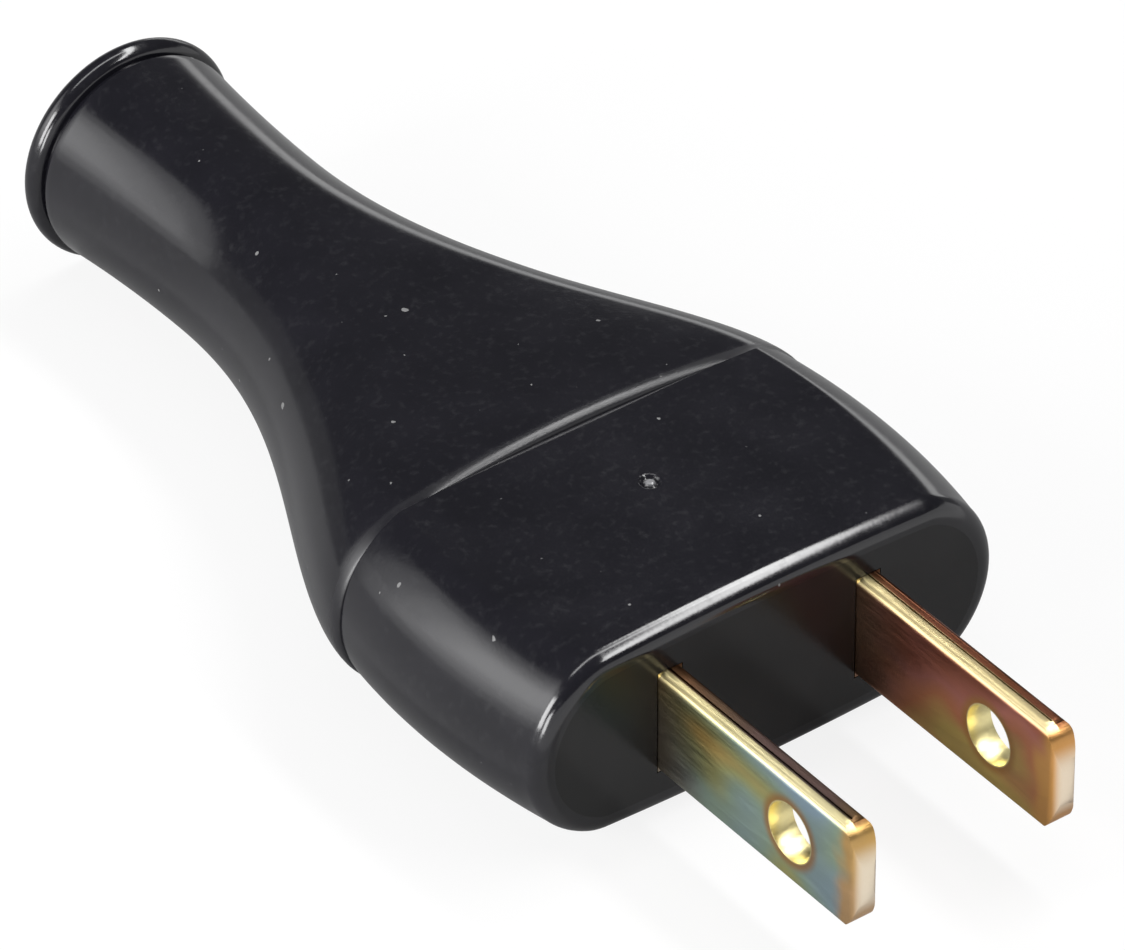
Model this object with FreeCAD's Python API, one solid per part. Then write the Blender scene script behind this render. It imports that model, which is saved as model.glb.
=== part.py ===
# Rewireable two-blade plug: a moulded rubber body, a hard contact base pushed in from the front,
# two blades folded from brass strip, and the terminal screws that clamp the cord's wires.
# Millimetres. The origin is the centre of the front face, midway between the blades.
# +X runs across the blades, +Y runs back towards the cord, +Z is up.
import FreeCAD
import Part
import math
import os
from FreeCAD import Vector

# Blades
blade_spacing = 12.7
blade_width = 6.35
leaf_thickness = 0.75
seam_width = 0.1
seam_depth = 0.3
blade_reach = 16.3
nose_drop = 1.0
nose_corner_radius = 1.2
blade_edge_radius = 0.4
blade_hole_diameter = 3.4
blade_hole_to_tip = 5.5

# Terminal tabs, bent outwards over the back of the base
tab_bend_radius = 0.5
tab_reach = 6.0
tab_corner_drop = 2.4
screw_offset = 3.1

# Terminal screws and washers
shank_diameter = 3.0
screw_length = 5.5
head_diameter = 5.2
head_height = 2.0
head_chamfer = 0.6
drive_slot_width = 0.8
drive_slot_depth = 1.0
washer_diameter = 5.6
washer_thickness = 0.6
thread_clearance = 0.05

# Contact base
base_depth = 7.0
flange_thickness = 2.0
slot_margin = 0.8
seat_width = 0.8
rib_height = 0.35
rib_width = 1.0
rib_from_back = 1.2
barrier_thickness = 1.6
barrier_reach = 5.0
screw_end_room = 0.8
fit_clearance = 0.06

# Room round the terminals and the walls outside it
tab_clearance = 0.5
lip_wall = 1.2
terminal_room = 8.0
chamber_taper = 20.0
chamber_step = 0.12
funnel_ledge = 0.9
throat_share = 0.7
throat_step = 0.5

# Front block
block_depth = 16.0
block_widening = 0.45
block_bow = 0.72
front_corner_radius = 3.2
ridge_corner_radius = 1.2
block_crown = 3.0
side_span = 66.0
inner_corner_radius = 0.4
front_edge_radius = 1.0
gate_from_front = 10.0
gate_diameter = 1.3
gate_depth = 0.2
gate_nub_diameter = 0.6

# Grip: it stands proud of the block at a rounded ridge and narrows to the neck
ridge_step = 0.45
ridge_side_step = 0.2
ridge_run = 0.5
grip_length = 29.0
grip_corner_radius = 4.0
grip_crown = 9.0
grip_ease = 0.74
grip_height_run = 14.0

# Neck
neck_length = 10.3
cord_bore_diameter = 7.8
neck_wall = 1.85
neck_end_wall = 2.35
groove_width = 0.35
groove_depth = 0.3
bead_radius = 0.7
mouth_chamfer = 0.4

# Sizes that follow from the ones above
blade_thickness = 2 * leaf_thickness
blade_x = blade_spacing / 2
pocket_half_width = blade_x + tab_reach + tab_clearance
pocket_half_height = blade_width / 2 + slot_margin
flange_half_width = pocket_half_width + seat_width
flange_half_height = pocket_half_height + seat_width
block_half_width = flange_half_width + lip_wall
block_half_height = flange_half_height + lip_wall
ridge_half_width = block_half_width + block_widening
grip_half_width = ridge_half_width + ridge_side_step
grip_half_height = block_half_height + ridge_step
bore_radius = cord_bore_diameter / 2
waist_radius = bore_radius + neck_wall
neck_end_radius = bore_radius + neck_end_wall
grip_start = block_depth + ridge_run
groove_start = grip_start + grip_length + neck_length
bead_start = groove_start + groove_width
body_end = bead_start + 2 * bead_radius
terminal_face = base_depth + blade_thickness
screw_x = blade_x + screw_offset

# Straight bands that follow each curve along the plug
edge_bands = 3
block_bands = 5
ridge_bands = 3
grip_bands = 12
neck_bands = 3
bead_bands = 6


def oval(half_width, half_height, corner_radius, crown, y):
    """A closed oval of eight tangent arcs across the plug: crowned top, round sides and tight corners.

    crown is half the angle of the top arc in degrees. With both halves equal to the radius it is a circle.
    """
    side = math.radians(side_span)
    top = math.radians(90 - crown)
    width_left = half_width - corner_radius
    height_left = half_height - corner_radius
    side_fall = 1 - math.cos(side)
    top_fall = 1 - math.sin(top)
    scale = math.sin(side) * math.cos(top) - top_fall * side_fall
    side_extra = (height_left * math.cos(top) - width_left * top_fall) / scale
    top_extra = (width_left * math.sin(side) - height_left * side_fall) / scale
    corner_x = top_extra * math.cos(top)
    corner_z = side_extra * math.sin(side)
    side_radius = corner_radius + side_extra
    top_radius = corner_radius + top_extra
    edges = []

    def arc(x, z, radius, start, end):
        points = []
        for angle in (start, (start + end) / 2, end):
            points.append(Vector(x + radius * math.cos(angle), y, z + radius * math.sin(angle)))
        edges.append(Part.Arc(*points).toShape())

    for turn, sign in ((0, 1), (math.pi, -1)):
        far_top = math.pi - top
        far_side = math.pi - side
        arc(sign * (half_width - side_radius), 0, side_radius, turn - side, turn + side)
        arc(sign * corner_x, sign * corner_z, corner_radius, turn + side, turn + top)
        arc(0, sign * (half_height - top_radius), top_radius, turn + top, turn + far_top)
        arc(-sign * corner_x, sign * corner_z, corner_radius, turn + far_top, turn + far_side)
    return Part.Wire(edges)


def circle(radius, y):
    """A round section, made of the same arcs as the ovals it is lofted with."""
    return oval(radius, radius, radius, grip_crown, y)


def inset_outline(inset, y):
    """The block's front outline, or a line parallel to it further in."""
    half_width = block_half_width - inset
    half_height = block_half_height - inset
    corner_radius = max(front_corner_radius - inset, inner_corner_radius)
    return oval(half_width, half_height, corner_radius, block_crown, y)


def inset_prism(inset, front, back):
    return Part.Face(inset_outline(inset, front)).extrude(Vector(0, back - front, 0))


def ease(start, end, share):
    """A smooth S-shaped change from start to end as share goes from 0 to 1."""
    share = min(max(share, 0), 1)
    return end + (start - end) * (1 + math.cos(math.pi * share)) / 2


def disc(diameter, x, front, back):
    """A cylinder along the plug's axis."""
    return Part.makeCylinder(diameter / 2, back - front, Vector(x, front, 0), Vector(0, 1, 0))


def edges_in_plane(shape, y):
    """The edges that lie wholly in one plane across the plug."""
    return [e for e in shape.Edges if abs(e.BoundBox.YMin - y) < 1e-4 and abs(e.BoundBox.YMax - y) < 1e-4]


def is_edge_at(edge, start, through):
    """True for the straight edge that runs from one point by the given vector."""
    return edge.CenterOfMass.isEqual(start + through / 2, 1e-4)


def front_edge_sections():
    """The rounded front edge, from the flat rim out to the block's full outline."""
    wires = []
    for k in range(edge_bands):
        angle = math.pi / 2 * k / edge_bands
        inset = front_edge_radius * (1 - math.sin(angle))
        wires.append(inset_outline(inset, front_edge_radius * (1 - math.cos(angle))))
    return wires


def block_sections():
    """The front block, with gently bowed sides and corners that tighten towards the ridge."""
    wires = []
    for k in range(block_bands + 1):
        share = k / block_bands
        bow = 4 * block_bow * share * (1 - share)
        half_width = block_half_width + block_widening * share + bow
        corner_radius = ease(front_corner_radius, ridge_corner_radius, share)
        y = front_edge_radius + (block_depth - front_edge_radius) * share
        wires.append(oval(half_width, block_half_height, corner_radius, block_crown, y))
    return wires


def ridge_sections():
    """The rounded riser where the grip steps up from the block: a quarter round."""
    wires = []
    for k in range(1, ridge_bands + 1):
        angle = math.pi / 2 * k / ridge_bands
        rise = math.sin(angle)
        half_width = ridge_half_width + ridge_side_step * rise
        half_height = block_half_height + ridge_step * rise
        corner_radius = ridge_corner_radius + (grip_corner_radius - ridge_corner_radius) * rise
        crown = block_crown + (grip_crown - block_crown) * rise
        y = block_depth + ridge_run * (1 - math.cos(angle))
        wires.append(oval(half_width, half_height, corner_radius, crown, y))
    return wires


def grip_sections():
    """The grip narrows from its ridge to the round waist."""
    wires = []
    for k in range(1, grip_bands + 1):
        run = grip_length * k / grip_bands
        share = (run / grip_length) ** grip_ease
        half_width = ease(grip_half_width, waist_radius, share)
        half_height = ease(grip_half_height, waist_radius, run / grip_height_run)
        corner_radius = ease(grip_corner_radius, waist_radius, share)
        wires.append(oval(half_width, half_height, corner_radius, grip_crown, grip_start + run))
    return wires


def neck_sections():
    """The round neck flares a little towards its end."""
    wires = []
    for k in range(1, neck_bands + 1):
        share = k / neck_bands
        radius = waist_radius + (neck_end_radius - waist_radius) * share ** 2
        wires.append(circle(radius, grip_start + grip_length + neck_length * share))
    return wires


def bead():
    """The half-round ring at the neck's end, on the floor of the groove that sets it off from the neck."""
    floor_radius = neck_end_radius - groove_depth
    wires = [circle(floor_radius, groove_start - groove_width)]
    for k in range(bead_bands + 1):
        angle = math.pi * k / bead_bands
        y = bead_start + bead_radius * (1 - math.cos(angle))
        wires.append(circle(floor_radius + bead_radius * math.sin(angle), y))
    return Part.makeLoft(wires, True, True)


def cavity():
    """Everything hollow in the body: the base's seat, the wire chamber, its funnel and the cord bore."""
    chamber_end = base_depth + terminal_room
    bore_start = chamber_end + chamber_taper
    pocket_inset = lip_wall + seat_width
    room_inset = pocket_inset + chamber_step
    rib_back = base_depth - rib_from_back
    rib_front = rib_back - rib_width
    seat = inset_prism(lip_wall, -lip_wall, flange_thickness)
    pocket = inset_prism(pocket_inset, 0, base_depth + tab_clearance)
    rib_groove = inset_prism(pocket_inset - rib_height, rib_front - fit_clearance, rib_back + fit_clearance)
    room = inset_prism(room_inset, base_depth, chamber_end)
    mouth_x = block_half_width - room_inset - 2 * funnel_ledge
    mouth_z = block_half_height - room_inset - funnel_ledge
    throat = throat_share * bore_radius
    funnel = Part.makeWedge(
        -mouth_x, chamber_end, -mouth_z, -throat, -throat, mouth_x, bore_start, mouth_z, throat, throat
    )
    bore = disc(cord_bore_diameter, 0, bore_start - throat_step, 2 * body_end)
    return [seat, pocket, rib_groove, room, funnel, bore]


def gate_mark():
    """The small moulding mark on top: a shallow ring round a low nub."""
    top = block_half_height
    at = Vector(0, gate_from_front, top - gate_depth)
    ring = Part.makeCylinder(gate_diameter / 2, 2 * gate_depth, at)
    return ring.cut(Part.makeCylinder(gate_nub_diameter / 2, 2 * gate_depth, at))


def rubber_body():
    """The one-piece moulding: block, ridge, grip and neck in a row, with everything hollow cut out."""
    sections = front_edge_sections() + block_sections() + ridge_sections() + grip_sections() + neck_sections()
    body = Part.makeLoft(sections, True, True).fuse(bead())
    for hollow in cavity() + [gate_mark()]:
        body = body.cut(hollow)
    mouth = [e for e in edges_in_plane(body, body_end) if abs(e.BoundBox.XMax - bore_radius) < 1e-3]
    return body.makeChamfer(mouth_chamfer, mouth)


def contact_base():
    """The insert: a flange flush with the rim, a boss with a snap rib and a wall between the terminals."""
    flange_inset = lip_wall + fit_clearance
    boss_inset = flange_inset + seat_width
    rib_back = base_depth - rib_from_back
    flange = inset_prism(flange_inset, 0, flange_thickness)
    boss = inset_prism(boss_inset, flange_thickness / 2, base_depth)
    rib = inset_prism(boss_inset - rib_height, rib_back - rib_width, rib_back)
    barrier_half_height = pocket_half_height - fit_clearance - chamber_step
    barrier = Part.makeBox(
        barrier_thickness,
        base_depth + barrier_reach - flange_thickness,
        2 * barrier_half_height,
        Vector(-barrier_thickness / 2, flange_thickness, -barrier_half_height),
    )
    base = flange.fuse(boss).fuse(rib).fuse(barrier)
    for side in (-1, 1):
        base = base.cut(blade_slot(side))
    return base


def blade_slot(side):
    """What the base leaves free for one blade: its slot, the relief for the bend, and the screw's end."""
    half = blade_thickness / 2 + fit_clearance
    height = blade_width + 2 * fit_clearance
    low = -height / 2
    slot = Part.makeBox(2 * half, 3 * base_depth, height, Vector(side * blade_x - half, -base_depth, low))
    relief_size = tab_bend_radius + fit_clearance
    relief_low = side * (blade_x + blade_thickness / 2 + relief_size / 2) - relief_size / 2
    relief_at = Vector(relief_low, base_depth - relief_size, low)
    relief = Part.makeBox(relief_size, 2 * relief_size, height, relief_at)
    screw_reach = screw_length - washer_thickness - blade_thickness + screw_end_room
    hole_diameter = shank_diameter + 4 * thread_clearance
    hole = disc(hole_diameter, side * screw_x, base_depth - screw_reach, 2 * base_depth)
    return [slot, relief, hole]


def strip_outline():
    """The right blade from above: the strip folded back on itself at the tip and bent outwards as a tab."""
    half = blade_thickness / 2
    tip = -blade_reach + half
    turn_y = base_depth - tab_bend_radius
    turn_x = half + tab_bend_radius
    front = base_depth
    back = base_depth + blade_thickness
    edges = []

    def point(x, y):
        return Vector(blade_x + x, y, -blade_width / 2)

    def line(start, stop):
        edges.append(Part.LineSegment(point(*start), point(*stop)).toShape())

    def arc(centre, radius, degrees):
        """An arc about a point, through its start, middle and end directions."""
        points = []
        for turn in degrees:
            angle = math.radians(turn)
            points.append(point(centre[0] + radius * math.cos(angle), centre[1] + radius * math.sin(angle)))
        edges.append(Part.Arc(*points).toShape())

    bend_centre = (turn_x, turn_y)
    line((tab_reach, front), (turn_x, front))
    arc(bend_centre, tab_bend_radius, (90, 135, 180))
    line((half, turn_y), (half, tip))
    arc((0, tip), half, (0, -90, -180))
    line((-half, tip), (-half, turn_y))
    arc(bend_centre, tab_bend_radius + blade_thickness, (180, 135, 90))
    line((turn_x, back), (tab_reach, back))
    line((tab_reach, back), (tab_reach, front))
    return Part.Wire(edges)


def leaf_seams():
    """The fine groove where the two leaves meet, along the blade's top and bottom edges."""
    start = -blade_reach + blade_thickness
    length = base_depth - tab_bend_radius - start
    grooves = []
    for edge in (-blade_width / 2, blade_width / 2):
        corner = Vector(blade_x - seam_width / 2, start, edge - seam_depth)
        grooves.append(Part.makeBox(seam_width, length, 2 * seam_depth, corner))
    return grooves


def bowed_plate(reach, drop, place, through):
    """A plate of the blade's width with one bowed end, whose rounded corners lie back from its reach."""
    half = blade_width / 2
    root = -2 * blade_width
    corner = reach - drop
    top = Part.LineSegment(place(root, half), place(corner, half)).toShape()
    nose = Part.Arc(place(corner, half), place(reach, 0), place(corner, -half)).toShape()
    low = Part.LineSegment(place(corner, -half), place(root, -half)).toShape()
    back = Part.LineSegment(place(root, -half), place(root, half)).toShape()
    plate = Part.Face(Part.Wire([top, nose, low, back])).extrude(through)
    corners = [e for e in plate.Edges if is_edge_at(e, place(corner, half), through)]
    corners += [e for e in plate.Edges if is_edge_at(e, place(corner, -half), through)]
    return plate.makeFillet(nose_corner_radius, corners)


def rounded_bar():
    """The blade's room: a bar with rounded edges in front of the face, joined to a plain block behind it."""
    low = Vector(blade_x - blade_thickness / 2, -2 * blade_reach, -blade_width / 2)
    bar = Part.makeBox(blade_thickness, 2 * blade_reach, blade_width, low)
    long_edges = [e for e in bar.Edges if e.BoundBox.YLength > blade_reach]
    rest = Part.makeBox(4 * blade_x, 2 * blade_reach, blade_width, Vector(0, 0, -blade_width / 2))
    return bar.makeFillet(blade_edge_radius, long_edges).fuse(rest)


def right_blade():
    """The folded strip, trimmed to its bowed nose and tab end, with rounded edges and its two holes."""
    strip = Part.Face(strip_outline()).extrude(Vector(0, 0, blade_width)).common(rounded_bar())
    span = 2 * blade_reach
    nose = bowed_plate(blade_reach, nose_drop, lambda a, z: Vector(0, -a, z), Vector(span, 0, 0))
    tab = bowed_plate(
        blade_x + tab_reach, tab_corner_drop, lambda a, z: Vector(a, -span, z), Vector(0, 2 * span, 0)
    )
    blade = strip.common(nose).common(tab)
    hole_y = -blade_reach + blade_hole_to_tip
    blade_hole = Part.makeCylinder(
        blade_hole_diameter / 2, 2 * blade_spacing, Vector(0, hole_y, 0), Vector(1, 0, 0)
    )
    screw_hole = disc(shank_diameter + 2 * thread_clearance, screw_x, 0, 2 * terminal_face)
    return blade.cut([blade_hole, screw_hole] + leaf_seams())


def right_washer():
    top = terminal_face + washer_thickness
    ring = disc(washer_diameter, screw_x, terminal_face, top)
    return ring.cut(disc(shank_diameter + 2 * thread_clearance, screw_x, 0, 2 * top))


def right_screw():
    seat = terminal_face + washer_thickness
    top = seat + head_height
    head = disc(head_diameter, screw_x, seat, top)
    head = head.makeChamfer(head_chamfer, edges_in_plane(head, top))
    shank = disc(shank_diameter, screw_x, seat - screw_length, seat)
    slot = Part.makeBox(
        drive_slot_width,
        2 * drive_slot_depth,
        2 * head_diameter,
        Vector(screw_x - drive_slot_width / 2, top - drive_slot_depth, -head_diameter),
    )
    return head.fuse(shank).cut(slot)


def mirrored(shape):
    """The left-hand twin, mirrored across the plug's middle."""
    return shape.mirror(Vector(0, 0, 0), Vector(1, 0, 0))


def single_solid(shape):
    """The one solid of a finished piece, with leftover seams between equal faces merged."""
    solids = shape.removeSplitter().Solids
    if len(solids) != 1:
        raise ValueError("a piece came out as %d solids" % len(solids))
    return solids[0]


def main():
    os.makedirs("parts", exist_ok=True)
    pieces = {"rubber_body": rubber_body(), "contact_base": contact_base()}
    pairs = {"blade": right_blade(), "terminal_washer": right_washer(), "terminal_screw": right_screw()}
    for name, right in pairs.items():
        pieces["right_" + name] = right
        pieces["left_" + name] = mirrored(right)
    for name, shape in pieces.items():
        single_solid(shape).exportStep("parts/%s.step" % name)


main()
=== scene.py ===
import math

import bmesh
import bpy
from mathutils import Matrix, Vector


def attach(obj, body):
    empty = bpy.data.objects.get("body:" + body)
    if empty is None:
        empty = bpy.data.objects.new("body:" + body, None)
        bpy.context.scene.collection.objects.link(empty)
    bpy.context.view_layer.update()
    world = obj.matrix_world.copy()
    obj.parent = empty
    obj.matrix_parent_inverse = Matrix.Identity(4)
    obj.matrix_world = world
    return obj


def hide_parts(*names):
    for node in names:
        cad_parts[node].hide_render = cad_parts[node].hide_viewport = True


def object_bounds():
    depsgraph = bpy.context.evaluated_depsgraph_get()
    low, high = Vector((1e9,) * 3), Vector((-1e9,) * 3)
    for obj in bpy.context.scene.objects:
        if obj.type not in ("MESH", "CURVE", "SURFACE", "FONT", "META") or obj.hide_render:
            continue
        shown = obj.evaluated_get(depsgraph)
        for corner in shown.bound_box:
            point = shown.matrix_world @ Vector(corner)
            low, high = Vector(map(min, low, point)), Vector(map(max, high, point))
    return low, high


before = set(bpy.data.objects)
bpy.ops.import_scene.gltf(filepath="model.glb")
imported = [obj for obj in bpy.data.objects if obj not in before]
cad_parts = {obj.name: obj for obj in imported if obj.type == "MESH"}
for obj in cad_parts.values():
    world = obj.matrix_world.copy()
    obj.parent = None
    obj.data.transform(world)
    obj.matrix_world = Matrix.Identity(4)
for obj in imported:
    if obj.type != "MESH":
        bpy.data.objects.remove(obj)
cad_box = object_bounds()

MM = 0.001

# Body, in millimetres: the same driving sizes as the solid
block_half_width = 14.85
block_half_height = 5.975
front_corner_radius = 3.2
ridge_corner_radius = 1.2
block_crown = 3.0
side_span = 66.0
inner_corner_radius = 0.4
block_depth = 16.0
block_widening = 0.45
block_bow = 0.71
front_edge_radius = 1.0
rim_inset = 1.26
flange_thickness = 2.0
pocket_inset = 2.0
chamber_end = 15.0
ridge_step = 0.45
ridge_side_step = 0.2
ridge_run = 0.5
grip_length = 29.0
grip_corner_radius = 4.0
grip_crown = 9.0
grip_ease = 0.74
grip_height_run = 14.0
neck_length = 10.3
waist_radius = 5.75
neck_end_radius = 6.25
neck_edge_radius = 0.15
groove_width = 0.35
groove_depth = 0.3
bead_radius = 0.7
bore_radius = 3.9
bore_start = 34.5
mouth_chamfer = 0.4
throat_half = 2.73
funnel_half_width = 10.93
funnel_half_height = 2.955
funnel_corner_radius = 0.6

# Moulding mark on top
gate_from_front = 10.0
gate_radius = 0.65
gate_nub_radius = 0.16
gate_depth = 0.2
gate_slope = 0.26
# The width over which the nub's painted highlight fades out, in mm
gate_highlight_fade = 0.2
gate_cuts = 12
gate_reach = 2.2

# Fineness of the body's skin: points on each arc, rings on each stretch
side_steps = 44
corner_steps = 12
top_steps = 36
front_edge_steps = 12
block_steps = 24
crease_share = 0.998
ridge_steps = 20
grip_steps = 80
neck_steps = 30
neck_edge_steps = 4
bead_steps = 20
bore_steps = 12

# Edges of the body with more degrees than this between their faces stay sharp
body_crease_angle = 25

# Blades: the easing of their edges, and the places of their tarnish
blade_edge_radius = 0.09
blade_edge_segments = 3
blade_edge_angle = 40
blade_weld_distance = 0.0001
blade_flat_angle = 1
blade_x = 6.35
blade_half_width = 3.175
blade_reach = 16.3
blade_hole_y = -10.8
blade_hole_radius = 1.7
blade_tip_tarnish = (-15.4, -14.2)
blade_root_tarnish = (-5.0, 0.5)

# Surroundings, in metres
floor_profile = [(0.001, 0), (0.6, 0), (1.2, 0)]
floor_sides = 96
backdrop_radius = 0.45
backdrop_steps = 12
lamp_distance = 1.0
lamp_target = Vector((0, 0.02, 0))

# Floor: its grey to bounced light, what the camera sees on top of that, and the shares that glow white
floor_grey = 0.32
floor_camera_grey = 0.6
floor_camera_glow = 0.86
floor_mirror_glow = 0.1
floor_front_glow = 0.75
floor_front_fade = 5

# Camera, found from the photograph's outline
camera_azimuth = -36.775
camera_elevation = 37.719
camera_roll = -0.199
camera_distance = 514.0
camera_right = 10.503
camera_up = -9.921
pixels_per_mm = 19.68
image_width = 1125
sensor_width = 36.0


# Shape helpers

def ring(half_width, half_height, corner_radius, crown, y):
    """Points round one section of the body: eight tangent arcs, as in the solid, in metres."""
    side = math.radians(side_span)
    top = math.radians(90 - crown)
    width_left = half_width - corner_radius
    height_left = half_height - corner_radius
    side_fall = 1 - math.cos(side)
    top_fall = 1 - math.sin(top)
    scale = math.sin(side) * math.cos(top) - top_fall * side_fall
    side_extra = (height_left * math.cos(top) - width_left * top_fall) / scale
    top_extra = (width_left * math.sin(side) - height_left * side_fall) / scale
    corner_x = top_extra * math.cos(top)
    corner_z = side_extra * math.sin(side)
    side_radius = corner_radius + side_extra
    top_radius = corner_radius + top_extra
    points = []

    def arc(x, z, radius, start, end, count):
        for k in range(count):
            angle = start + (end - start) * k / count
            point = Vector((x + radius * math.cos(angle), y, z + radius * math.sin(angle)))
            points.append(point * MM)

    for turn, sign in ((0, 1), (math.pi, -1)):
        far_top = math.pi - top
        far_side = math.pi - side
        arc(sign * (half_width - side_radius), 0, side_radius, turn - side, turn + side, side_steps)
        arc(sign * corner_x, sign * corner_z, corner_radius, turn + side, turn + top, corner_steps)
        arc(0, sign * (half_height - top_radius), top_radius, turn + top, turn + far_top, top_steps)
        arc(-sign * corner_x, sign * corner_z, corner_radius, turn + far_top, turn + far_side, corner_steps)
    return points


def round_ring(radius, y):
    return ring(radius, radius, radius, grip_crown, y)


def inset_ring(inset, y):
    """The block's front outline, or a line parallel to it further in."""
    corner_radius = max(front_corner_radius - inset, inner_corner_radius)
    return ring(block_half_width - inset, block_half_height - inset, corner_radius, block_crown, y)


def ease(start, end, share):
    """A smooth S-shaped change from start to end as share goes from 0 to 1."""
    share = min(max(share, 0), 1)
    return end + (start - end) * (1 + math.cos(math.pi * share)) / 2


def shares(count):
    """Even steps from just above 0 up to 1."""
    return [(k + 1) / count for k in range(count)]


# Body

def front_rings():
    """The front rim and the rounded edge round it."""
    rings = [inset_ring(rim_inset, 0), inset_ring(front_edge_radius, 0)]
    for share in shares(front_edge_steps):
        angle = math.pi / 2 * share
        inset = front_edge_radius * (1 - math.sin(angle))
        rings.append(inset_ring(inset, front_edge_radius * (1 - math.cos(angle))))
    return rings


def block_rings():
    """The block's length. The last two rings lie close together, so that the crease stays crisp."""
    rings = []
    for share in shares(block_steps)[:-1] + [crease_share, 1]:
        bow = 4 * block_bow * share * (1 - share)
        half_width = block_half_width + block_widening * share + bow
        corner_radius = ease(front_corner_radius, ridge_corner_radius, share)
        y = front_edge_radius + (block_depth - front_edge_radius) * share
        rings.append(ring(half_width, block_half_height, corner_radius, block_crown, y))
    return rings


def ridge_rings():
    """The step up from the block to the grip, with a rounded edge."""
    rings = []
    for share in shares(ridge_steps):
        angle = math.pi / 2 * share
        rise = math.sin(angle)
        half_width = block_half_width + block_widening + ridge_side_step * rise
        half_height = block_half_height + ridge_step * rise
        corner_radius = ridge_corner_radius + (grip_corner_radius - ridge_corner_radius) * rise
        crown = block_crown + (grip_crown - block_crown) * rise
        y = block_depth + ridge_run * (1 - math.cos(angle))
        rings.append(ring(half_width, half_height, corner_radius, crown, y))
    return rings


def grip_rings():
    """The fan-shaped grip, from the step to the waist."""
    grip_half_width = block_half_width + block_widening + ridge_side_step
    grip_half_height = block_half_height + ridge_step
    grip_start = block_depth + ridge_run
    rings = []
    for share in shares(grip_steps):
        run = grip_length * share
        eased = share ** grip_ease
        half_width = ease(grip_half_width, waist_radius, eased)
        half_height = ease(grip_half_height, waist_radius, run / grip_height_run)
        corner_radius = ease(grip_corner_radius, waist_radius, eased)
        rings.append(ring(half_width, half_height, corner_radius, grip_crown, grip_start + run))
    return rings


def neck_rings():
    """The round neck, its end edge, the groove and the bead."""
    start = block_depth + ridge_run + grip_length
    end = start + neck_length
    rings = []
    for share in shares(neck_steps):
        radius = waist_radius + (neck_end_radius - waist_radius) * share ** 2
        rings.append(round_ring(radius, start + (neck_length - neck_edge_radius) * share))
    for share in shares(neck_edge_steps):
        angle = math.pi / 2 * share
        drop = neck_edge_radius * (1 - math.cos(angle))
        y = end - neck_edge_radius * (1 - math.sin(angle))
        rings.append(round_ring(neck_end_radius - drop, y))
    groove_radius = neck_end_radius - groove_depth
    rings.append(round_ring(groove_radius, end))
    for share in [0] + shares(bead_steps):
        angle = math.pi * share
        y = end + groove_width + bead_radius * (1 - math.cos(angle))
        rings.append(round_ring(groove_radius + bead_radius * math.sin(angle), y))
    return rings


def inner_rings():
    """The bore, the funnel and the wire chamber, from the mouth back to the front rim."""
    neck_end = block_depth + ridge_run + grip_length + neck_length
    body_end = neck_end + groove_width + 2 * bead_radius
    bore_end = body_end - mouth_chamfer
    rings = [round_ring(bore_radius + mouth_chamfer, body_end)]
    rings.append(round_ring(bore_radius, bore_end))
    for share in shares(bore_steps):
        rings.append(round_ring(bore_radius, bore_end + (bore_start - bore_end) * share))
    rings.append(ring(throat_half, throat_half, funnel_corner_radius, grip_crown, bore_start))
    rings.append(ring(funnel_half_width, funnel_half_height, funnel_corner_radius, block_crown, chamber_end))
    rings.append(inset_ring(pocket_inset, chamber_end))
    rings.append(inset_ring(pocket_inset, flange_thickness))
    rings.append(inset_ring(rim_inset, flange_thickness))
    return rings


def loft(name, rings):
    """A closed tube through the rings, whose last ring joins its first."""
    mesh = bpy.data.meshes.new(name)
    count = len(rings[0])
    points = [p for r in rings for p in r]
    faces = []
    for i in range(len(rings)):
        a = i * count
        b = (i + 1) % len(rings) * count
        for k in range(count):
            n = (k + 1) % count
            faces.append((a + k, a + n, b + n, b + k))
    mesh.from_pydata(points, [], faces)
    return add_object(name, mesh)


def add_object(name, mesh):
    piece = bpy.data.objects.new(name, mesh)
    bpy.context.scene.collection.objects.link(piece)
    return piece


def recalculate_normals(mesh):
    work = bmesh.new()
    work.from_mesh(mesh)
    bmesh.ops.recalc_face_normals(work, faces=work.faces)
    work.to_mesh(mesh)
    work.free()


def press_gate_mark(mesh):
    """Presses the moulding mark into the top: a shallow ring round a low nub."""
    work = bmesh.new()
    work.from_mesh(mesh)
    centre = Vector((0, gate_from_front, block_half_height)) * MM

    def near(face):
        return (face.calc_center_median() - centre).length < gate_reach * gate_radius * MM

    edges = {edge for face in work.faces if near(face) for edge in face.edges}
    bmesh.ops.subdivide_edges(work, edges=list(edges), cuts=gate_cuts, use_grid_fill=True)
    for vert in work.verts:
        radius = math.hypot(vert.co.x, vert.co.y - centre.y) / MM
        if vert.co.z > 0 and radius < gate_radius:
            outer = ease(0, gate_depth, (gate_radius - radius) / gate_slope)
            inner = ease(0, gate_depth, (radius - gate_nub_radius) / gate_slope)
            vert.co.z -= MM * min(outer, inner)
    work.to_mesh(mesh)
    work.free()


def make_body(material):
    outside = front_rings() + block_rings() + ridge_rings() + grip_rings() + neck_rings()
    piece = loft("rubber_body_skin", outside + inner_rings())
    recalculate_normals(piece.data)
    press_gate_mark(piece.data)
    piece.data.shade_smooth()
    piece.data.set_sharp_from_angle(angle=math.radians(body_crease_angle))
    piece.data.materials.append(material)
    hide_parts("rubber_body")
    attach(piece, "root")


# Blades

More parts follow.
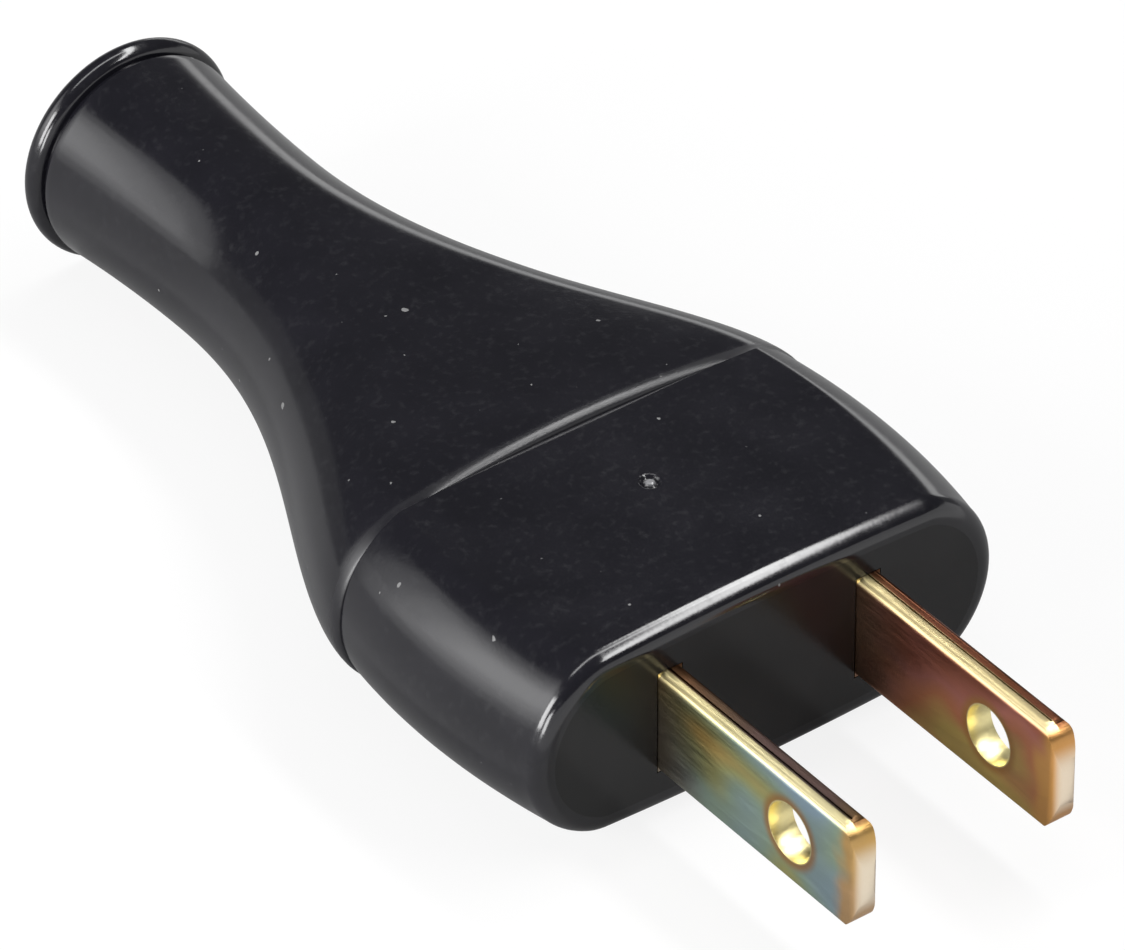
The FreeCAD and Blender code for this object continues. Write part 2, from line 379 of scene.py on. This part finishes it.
def make_blade(side, material):
    """The folded strip with its edges eased, made from the solid's own mesh."""
    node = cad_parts[side + "_blade"]
    mesh = node.data.copy()
    mesh.name = side + "_blade_strip"
    work = bmesh.new()
    work.from_mesh(mesh)
    bmesh.ops.remove_doubles(work, verts=work.verts, dist=blade_weld_distance * MM)
    flat = math.radians(blade_flat_angle)
    bmesh.ops.dissolve_limit(work, angle_limit=flat, verts=work.verts, edges=work.edges)
    work.to_mesh(mesh)
    work.free()
    mesh.materials.clear()
    mesh.materials.append(material)
    piece = add_object(side + "_blade_strip", mesh)
    piece.data.shade_smooth()
    bevel = piece.modifiers.new("eased edges", "BEVEL")
    bevel.width = blade_edge_radius * MM
    bevel.segments = blade_edge_segments
    bevel.limit_method = "ANGLE"
    bevel.angle_limit = math.radians(blade_edge_angle)
    bevel.harden_normals = True
    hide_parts(side + "_blade")
    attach(piece, "root")


# Materials

class Nodes:
    """Builds one material's node tree with short calls."""

    def __init__(self, name):
        self.material = bpy.data.materials.new(name)
        self.material.use_nodes = True
        self.tree = self.material.node_tree
        self.shader = self.tree.nodes["Principled BSDF"]
        place = self.add("ShaderNodeTexCoord")
        scale = self.add("ShaderNodeVectorMath", operation="SCALE")
        scale.inputs["Scale"].default_value = 1 / MM
        self.link(place.outputs["Object"], scale.inputs[0])
        self.place = scale.outputs["Vector"]

    def add(self, kind, **settings):
        node = self.tree.nodes.new(kind)
        for key, value in settings.items():
            setattr(node, key, value)
        return node

    def link(self, output, socket):
        self.tree.links.new(output, socket)

    def noise(self, scale, detail=2.0, stretch=(1, 1, 1)):
        """Noise over the object, with its scale in waves per millimetre."""
        mapping = self.add("ShaderNodeMapping")
        mapping.inputs["Scale"].default_value = stretch
        self.link(self.place, mapping.inputs["Vector"])
        node = self.add("ShaderNodeTexNoise")
        node.inputs["Scale"].default_value = scale
        node.inputs["Detail"].default_value = detail
        self.link(mapping.outputs["Vector"], node.inputs["Vector"])
        return node.outputs["Fac"]

    def ramp(self, value, stops):
        """A colour ramp, whose stops are (position, colour)."""
        node = self.add("ShaderNodeValToRGB")
        elements = node.color_ramp.elements
        while len(elements) < len(stops):
            elements.new(0.5)
        for element, (position, colour) in zip(elements, stops):
            element.position = position
            element.color = (*colour, 1)
        self.link(value, node.inputs["Fac"])
        return node.outputs["Color"]

    def mix(self, factor, a, b):
        """Goes from colour a to colour b as the factor goes from 0 to 1."""
        node = self.add("ShaderNodeMix", data_type="RGBA")
        self.fill(node.inputs[0], factor)
        self.fill(node.inputs[6], a)
        self.fill(node.inputs[7], b)
        return node.outputs[2]

    def fill(self, socket, value):
        """Links a node's output, or sets a plain number or colour."""
        if isinstance(value, bpy.types.NodeSocket):
            self.link(value, socket)
        elif isinstance(value, tuple):
            socket.default_value = (*value, 1)
        else:
            socket.default_value = value

    def math(self, operation, a, b=0.0, c=0.0):
        node = self.add("ShaderNodeMath", operation=operation)
        for socket, value in zip(node.inputs, (a, b, c)):
            self.fill(socket, value)
        return node.outputs["Value"]

    def span(self, value, low, high, to_low=0.0, to_high=1.0):
        """Maps a value from one range to another, smoothly and clamped."""
        node = self.add("ShaderNodeMapRange", interpolation_type="SMOOTHSTEP")
        for socket, number in zip(node.inputs, (value, low, high, to_low, to_high)):
            self.fill(socket, number)
        return node.outputs["Result"]

    def along(self, axis):
        """The place along one axis, in millimetres."""
        node = self.add("ShaderNodeSeparateXYZ")
        self.link(self.place, node.inputs["Vector"])
        return node.outputs[axis]

    def bump(self, height, depth_mm):
        """Bump whose full height is the given depth."""
        node = self.add("ShaderNodeBump")
        node.inputs["Strength"].default_value = 1
        node.inputs["Distance"].default_value = depth_mm * MM
        self.link(height, node.inputs["Height"])
        return node.outputs["Normal"]

    def set(self, name, value):
        """Fills one of the shader's sockets."""
        self.fill(self.shader.inputs[name], value)


def dust(nodes):
    """Sparse pale specks of two sizes: 0 nearly everywhere and 1 on a speck."""
    small = nodes.span(nodes.noise(2.4, 0.0), 0.885, 0.90)
    large = nodes.span(nodes.noise(1.3, 0.0), 0.872, 0.885)
    return nodes.math("MAXIMUM", small, large)


def gate_painted_highlight(nodes):
    """1 on the nub of the moulding mark, which a painted highlight lightens, 0 elsewhere."""
    across = nodes.along("X")
    back = nodes.math("SUBTRACT", nodes.along("Y"), gate_from_front)
    squares = nodes.math("MULTIPLY_ADD", across, across, nodes.math("MULTIPLY", back, back))
    radius = nodes.math("SQRT", squares)
    nub = nodes.span(radius, gate_nub_radius, gate_nub_radius + gate_highlight_fade, 0.9, 0.0)
    return nodes.math("MULTIPLY", nub, nodes.math("GREATER_THAN", nodes.along("Z"), 0.0))


def step_wear(nodes):
    """1 on the step's rounded edge, which is rubbed dull, 0 elsewhere."""
    y = nodes.along("Y")
    behind_crease = nodes.math("GREATER_THAN", y, block_depth)
    fade = nodes.span(y, block_depth + ridge_run, block_depth + ridge_run + 0.4, 1.0, 0.0)
    return nodes.math("MULTIPLY", behind_crease, fade)


def rubber_material():
    """Glossy black rubber with a thin film, dust, a rubbed dull step edge and a painted highlight on the nub
    of the moulding mark.
    """
    nodes = Nodes("body rubber")
    mottle = nodes.noise(0.25, 4.0)
    colour = nodes.ramp(mottle, [(0.3, (0.0070, 0.0068, 0.0096)), (0.7, (0.0100, 0.0096, 0.0134))])
    film = nodes.span(nodes.noise(2.2, 3.0), 0.50, 0.80, 0.0, 0.35)
    colour = nodes.mix(film, colour, (0.028, 0.028, 0.032))
    # Painted highlight: the nub of the moulding mark is lightened towards pale grey
    colour = nodes.mix(gate_painted_highlight(nodes), colour, (0.28, 0.28, 0.29))
    specks = dust(nodes)
    colour = nodes.mix(specks, colour, (0.20, 0.20, 0.20))
    nodes.set("Base Color", colour)
    grain = nodes.noise(6.0, 3.0)
    rough = nodes.span(mottle, 0.3, 0.7, 0.13, 0.17)
    for share, added in ((film, 0.15), (step_wear(nodes), 0.2), (specks, 0.3)):
        rough = nodes.math("MULTIPLY_ADD", share, added, rough)
    nodes.set("Roughness", rough)
    nodes.shader.inputs["IOR"].default_value = 1.66
    nodes.set("Normal", nodes.bump(grain, 0.0018))
    return nodes.material


def base_material():
    nodes = Nodes("base plastic")
    mottle = nodes.noise(0.3, 3.0)
    colour = nodes.ramp(mottle, [(0.3, (0.009, 0.009, 0.010)), (0.7, (0.014, 0.014, 0.015))])
    nodes.set("Base Color", colour)
    grain = nodes.noise(5.0, 2.0)
    nodes.set("Roughness", nodes.span(grain, 0.2, 0.8, 0.16, 0.26))
    nodes.shader.inputs["IOR"].default_value = 1.5
    nodes.set("Normal", nodes.bump(grain, 0.003))
    return nodes.material


def edge_highlight_and_brown(nodes, side, colour):
    """The folded strip's upper edge: bright gold as a painted highlight on its left leaf, and dark brown on
    its right one.
    """
    fold = -blade_x - 0.2 if side == "left" else blade_x
    right_leaf = nodes.span(nodes.along("X"), fold, fold + 0.1)
    upper = nodes.span(nodes.along("Z"), blade_half_width - 0.35, blade_half_width - 0.1, 0.0, 0.9)
    # The bright gold on the left leaf's edge is a painted highlight
    edge = nodes.mix(right_leaf, (0.88, 0.76, 0.40), (0.10, 0.035, 0.014))
    return nodes.mix(upper, colour, edge)


def hole_tint(nodes, colour):
    """Bare bright walls in the blade's hole and a brown ring of heat round it."""
    across = nodes.math("SUBTRACT", nodes.along("Y"), blade_hole_y)
    up = nodes.along("Z")
    squares = nodes.math("MULTIPLY_ADD", across, across, nodes.math("MULTIPLY", up, up))
    radius = nodes.math("SQRT", squares)
    ring_share = nodes.span(radius, blade_hole_radius + 0.1, blade_hole_radius + 0.7, 0.85, 0.0)
    colour = nodes.mix(ring_share, colour, (0.50, 0.24, 0.07))
    wall = nodes.span(radius, blade_hole_radius + 0.02, blade_hole_radius + 0.1, 1.0, 0.0)
    return nodes.mix(wall, colour, (0.93, 0.82, 0.42))


def brass_material(side):
    """Brass with a thin tarnish: olive to slate on the left blade, mauve to olive on the right one, and
    painted highlights on its upper edge and nose.
    """
    nodes = Nodes(side + " blade brass")
    patches = nodes.noise(0.16, 1.0, (1, 0.8, 1.4))
    tints = {
        "left": [
            (0.28, (0.72, 0.47, 0.14)),
            (0.38, (0.53, 0.53, 0.24)),
            (0.48, (0.40, 0.52, 0.41)),
            (0.62, (0.37, 0.50, 0.59)),
        ],
        "right": [
            (0.32, (0.62, 0.44, 0.14)),
            (0.44, (0.62, 0.24, 0.12)),
            (0.56, (0.60, 0.23, 0.18)),
            (0.70, (0.43, 0.14, 0.08)),
        ],
    }
    colour = nodes.ramp(patches, tints[side])
    wander = nodes.math("MULTIPLY", nodes.math("SUBTRACT", nodes.noise(0.5, 1.0), 0.5), 2.0)
    y = nodes.math("ADD", nodes.along("Y"), wander)
    tip = nodes.span(y, *blade_tip_tarnish, 1.0, 0.0)
    colour = nodes.mix(nodes.math("MULTIPLY", tip, 0.8), colour, (0.75, 0.41, 0.12))
    root = nodes.span(y, *blade_root_tarnish)
    colour = nodes.mix(nodes.math("MULTIPLY", root, 0.8), colour, (0.36, 0.24, 0.15))
    colour = edge_highlight_and_brown(nodes, side, colour)
    colour = hole_tint(nodes, colour)
    # Painted highlight: the blade's nose turns pale towards its end
    painted_nose_highlight = nodes.span(nodes.along("Y"), -blade_reach + 0.05, -blade_reach + 0.5, 1.0, 0.0)
    colour = nodes.mix(nodes.math("MULTIPLY", painted_nose_highlight, 0.8), colour, (0.97, 0.88, 0.72))
    nodes.set("Base Color", colour)
    nodes.shader.inputs["Metallic"].default_value = 1
    drawn = nodes.noise(7.0, 2.0, (1, 0.06, 1))
    nodes.set("Roughness", nodes.span(drawn, 0.2, 0.8, 0.30, 0.42))
    nodes.set("Normal", nodes.bump(drawn, 0.003))
    return nodes.material


def steel_material():
    nodes = Nodes("terminal steel")
    patches = nodes.noise(0.8, 3.0)
    colour = nodes.ramp(patches, [(0.3, (0.52, 0.52, 0.50)), (0.7, (0.66, 0.66, 0.63))])
    nodes.set("Base Color", colour)
    nodes.shader.inputs["Metallic"].default_value = 1
    nodes.set("Roughness", nodes.span(patches, 0.2, 0.8, 0.28, 0.42))
    nodes.set("Normal", nodes.bump(nodes.noise(8.0, 2.0), 0.004))
    return nodes.material


def dress_nodes(names, material):
    """Gives solids that stay as they are their material."""
    for name in names:
        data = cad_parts[name].data
        data.materials.clear()
        data.materials.append(material)


# Surroundings

def floor_material():
    """Matt, and grey to bounced light. The camera sees it white with the shadows on it.
    Mirrors see a part of that white, and more of it in front of the blades."""
    nodes = Nodes("floor")
    path = nodes.add("ShaderNodeLightPath")
    by_camera = path.outputs["Is Camera Ray"]
    by_mirror = nodes.math("MAXIMUM", path.outputs["Is Glossy Ray"], path.outputs["Is Transmission Ray"])
    nodes.set("Base Color", nodes.math("MULTIPLY_ADD", by_camera, floor_camera_grey, floor_grey))
    nodes.set("Roughness", 0.9)
    nodes.set("Specular IOR Level", 0.1)
    glow = nodes.add("ShaderNodeEmission")
    blend = nodes.add("ShaderNodeMixShader")
    seen = nodes.math("MULTIPLY", by_camera, floor_camera_glow)
    front = -blade_reach - floor_front_fade
    mirrored = nodes.span(nodes.along("Y"), front, -blade_reach, floor_front_glow, floor_mirror_glow)
    nodes.link(nodes.math("MULTIPLY_ADD", by_mirror, mirrored, seen), blend.inputs["Fac"])
    nodes.link(nodes.shader.outputs["BSDF"], blend.inputs[1])
    nodes.link(glow.outputs["Emission"], blend.inputs[2])
    nodes.link(blend.outputs["Shader"], nodes.tree.nodes["Material Output"].inputs["Surface"])
    return nodes.material


def make_floor():
    """A round floor whose rim curves up into a low backdrop."""
    low = cad_box[0].z
    flat_radius = floor_profile[-1][0]
    profile = list(floor_profile)
    for share in shares(backdrop_steps):
        angle = math.pi / 2 * share
        radius = flat_radius + backdrop_radius * math.sin(angle)
        profile.append((radius, backdrop_radius * (1 - math.cos(angle))))
    count = floor_sides
    points = []
    for radius, height in profile:
        for k in range(count):
            angle = 2 * math.pi * k / count
            points.append((radius * math.cos(angle), radius * math.sin(angle), low + height))
    faces = [tuple(range(count))]
    for i in range(len(profile) - 1):
        for k in range(count):
            n = (k + 1) % count
            faces.append((i * count + k, i * count + n, (i + 1) * count + n, (i + 1) * count + k))
    mesh = bpy.data.meshes.new("floor")
    mesh.from_pydata(points, [], faces)
    mesh.shade_smooth()
    mesh.materials.append(floor_material())
    add_object("floor", mesh)


def make_world():
    world = bpy.data.worlds.new("studio")
    bpy.context.scene.world = world
    world.use_nodes = True
    background = world.node_tree.nodes["Background"]
    background.inputs["Color"].default_value = (0.08, 0.08, 0.085, 1)
    background.inputs["Strength"].default_value = 1.0


def softbox(name, azimuth, elevation, width, height, radiance, slide=0):
    """A lamp on a sphere round the plug, slid along its width.
    All angles are in degrees, and the azimuth runs from +Y towards +X."""
    turn = math.radians(azimuth)
    rise = math.radians(elevation)
    level = math.cos(rise)
    towards = Vector((math.sin(turn) * level, math.cos(turn) * level, math.sin(rise)))
    light = bpy.data.lights.new(name, "AREA")
    light.shape = "RECTANGLE"
    light.size = 2 * lamp_distance * math.tan(math.radians(width / 2))
    light.size_y = 2 * lamp_distance * math.tan(math.radians(height / 2))
    light.energy = radiance * math.pi * light.size * light.size_y
    lamp = bpy.data.objects.new(name, light)
    lamp.rotation_mode = "QUATERNION"
    lamp.rotation_quaternion = (-towards).to_track_quat("-Z", "Y")
    across = lamp.rotation_quaternion @ Vector((1, 0, 0))
    aside = math.tan(math.radians(slide)) * across
    lamp.location = lamp_target + lamp_distance * (towards + aside)
    bpy.context.scene.collection.objects.link(lamp)


def make_lights():
    """Two strips for the edges, panels that brighten towards their middle on the left, and cards."""
    softbox("overhead strip", 93, 61, 70, 8, 12.5, slide=-10)
    softbox("zenith strip", 0, 83, 56, 10, 4.5)
    for step, spread in enumerate((16, 26, 38, 52)):
        softbox("left panel", -63, 26 - step, spread, 0.86 * spread, 0.75)
    softbox("left strip", -92, 22, 22, 30, 10.5)
    softbox("neck card", -121, 9, 14, 20, 10.0)
    softbox("right card", 52, 6, 30, 10, 1.3)


def make_camera():
    """The photograph's camera: its direction, its roll and the point it looks at."""
    azimuth = math.radians(camera_azimuth)
    elevation = math.radians(camera_elevation)
    roll = math.radians(camera_roll)
    back = Vector((
        math.sin(azimuth) * math.cos(elevation),
        -math.cos(azimuth) * math.cos(elevation),
        math.sin(elevation),
    ))
    level_right = Vector((0, 0, 1)).cross(back).normalized()
    level_up = back.cross(level_right)
    right = math.cos(roll) * level_right + math.sin(roll) * level_up
    up = math.cos(roll) * level_up - math.sin(roll) * level_right
    place = (camera_distance * back - camera_right * right - camera_up * up) * MM
    data = bpy.data.cameras.new("camera")
    data.sensor_fit = "HORIZONTAL"
    data.sensor_width = sensor_width
    data.lens = sensor_width * pixels_per_mm * camera_distance / image_width
    data.clip_start = 0.05
    data.clip_end = 10
    camera = bpy.data.objects.new("camera", data)
    turn = Matrix((right, up, back)).transposed().to_4x4()
    camera.matrix_world = Matrix.Translation(place) @ turn
    bpy.context.scene.collection.objects.link(camera)
    bpy.context.scene.camera = camera


make_body(rubber_material())
make_blade("left", brass_material("left"))
make_blade("right", brass_material("right"))
dress_nodes(["contact_base"], base_material())
steel = steel_material()
dress_nodes(["left_terminal_screw", "left_terminal_washer"], steel)
dress_nodes(["right_terminal_screw", "right_terminal_washer"], steel)
make_floor()
make_world()
make_lights()
make_camera()
bpy.context.scene.view_settings.view_transform = "Standard"
